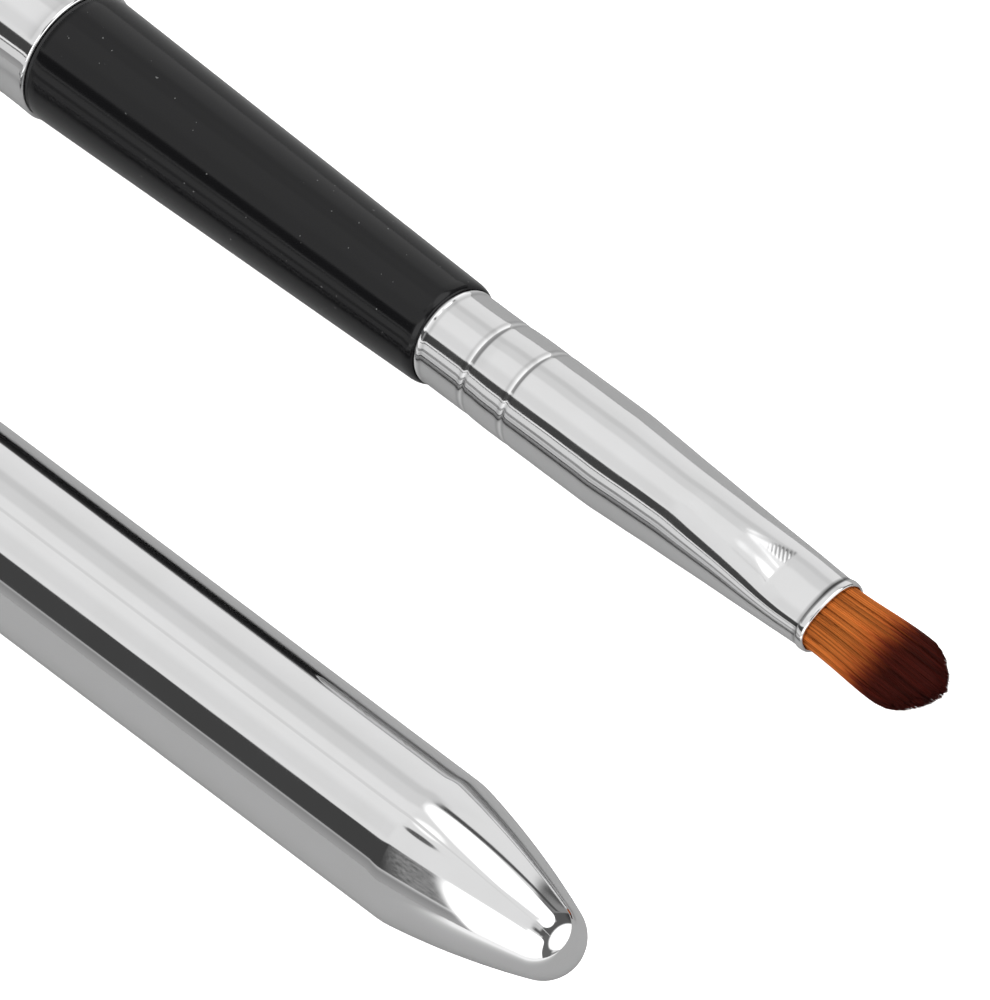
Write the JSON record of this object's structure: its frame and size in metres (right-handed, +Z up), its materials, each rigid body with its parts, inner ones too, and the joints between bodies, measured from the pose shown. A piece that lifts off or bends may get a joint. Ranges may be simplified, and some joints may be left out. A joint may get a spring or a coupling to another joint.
{
  "type": "acrylic nail brush",
  "caption": "Round chrome and black nail brush with an oval-mouthed ferrule and a filbert tuft, and its bullet-shaped pull-off cap lying beside it.",
  "frame": {"origin": "bottom centre of the common box of the brush and its cap, on the plane that both lie on", "axes": "+X along the brush from its tail to the bristle tip, +Z up, the cap lies on the -Y side with its nose towards +X"},
  "size_m": [0.1456, 0.04, 0.0112],
  "materials": {
    "barrel_chrome": "polished chrome plate on drawn brass tube",
    "cap_chrome": "polished chrome plate on drawn brass tube",
    "ferrule_chrome": "polished chrome plate, fine drawing lines",
    "black_lacquer": "gloss black lacquer",
    "black_plastic": "satin moulded black",
    "core_plastic": "turned natural plastic",
    "resin": "set amber resin",
    "thread": "waxed binding thread",
    "bristle": "fine filaments, orange-brown at the root, dark maroon-brown at the tip",
    "bush_plastic": "moulded natural plastic"
  },
  "bodies": {
    "brush": {"barrel_tube": "barrel_chrome", "barrel_sleeve": "black_plastic", "grip_shell": "black_lacquer", "handle_core": "core_plastic", "ferrule": "ferrule_chrome", "ferrule_resin": "resin", "root_thread": "thread", "bristle_tuft": "bristle"},
    "cap": {"cap_shell": "cap_chrome", "cap_friction_bush": "bush_plastic"}
  },
  "joints": [
    {"name": "cap_slide", "type": "slide", "parent": "brush", "child": "cap", "axis": [0.9803, 0.1974, -0.0043], "range_m": [0, 0.14893]}
  ]
}
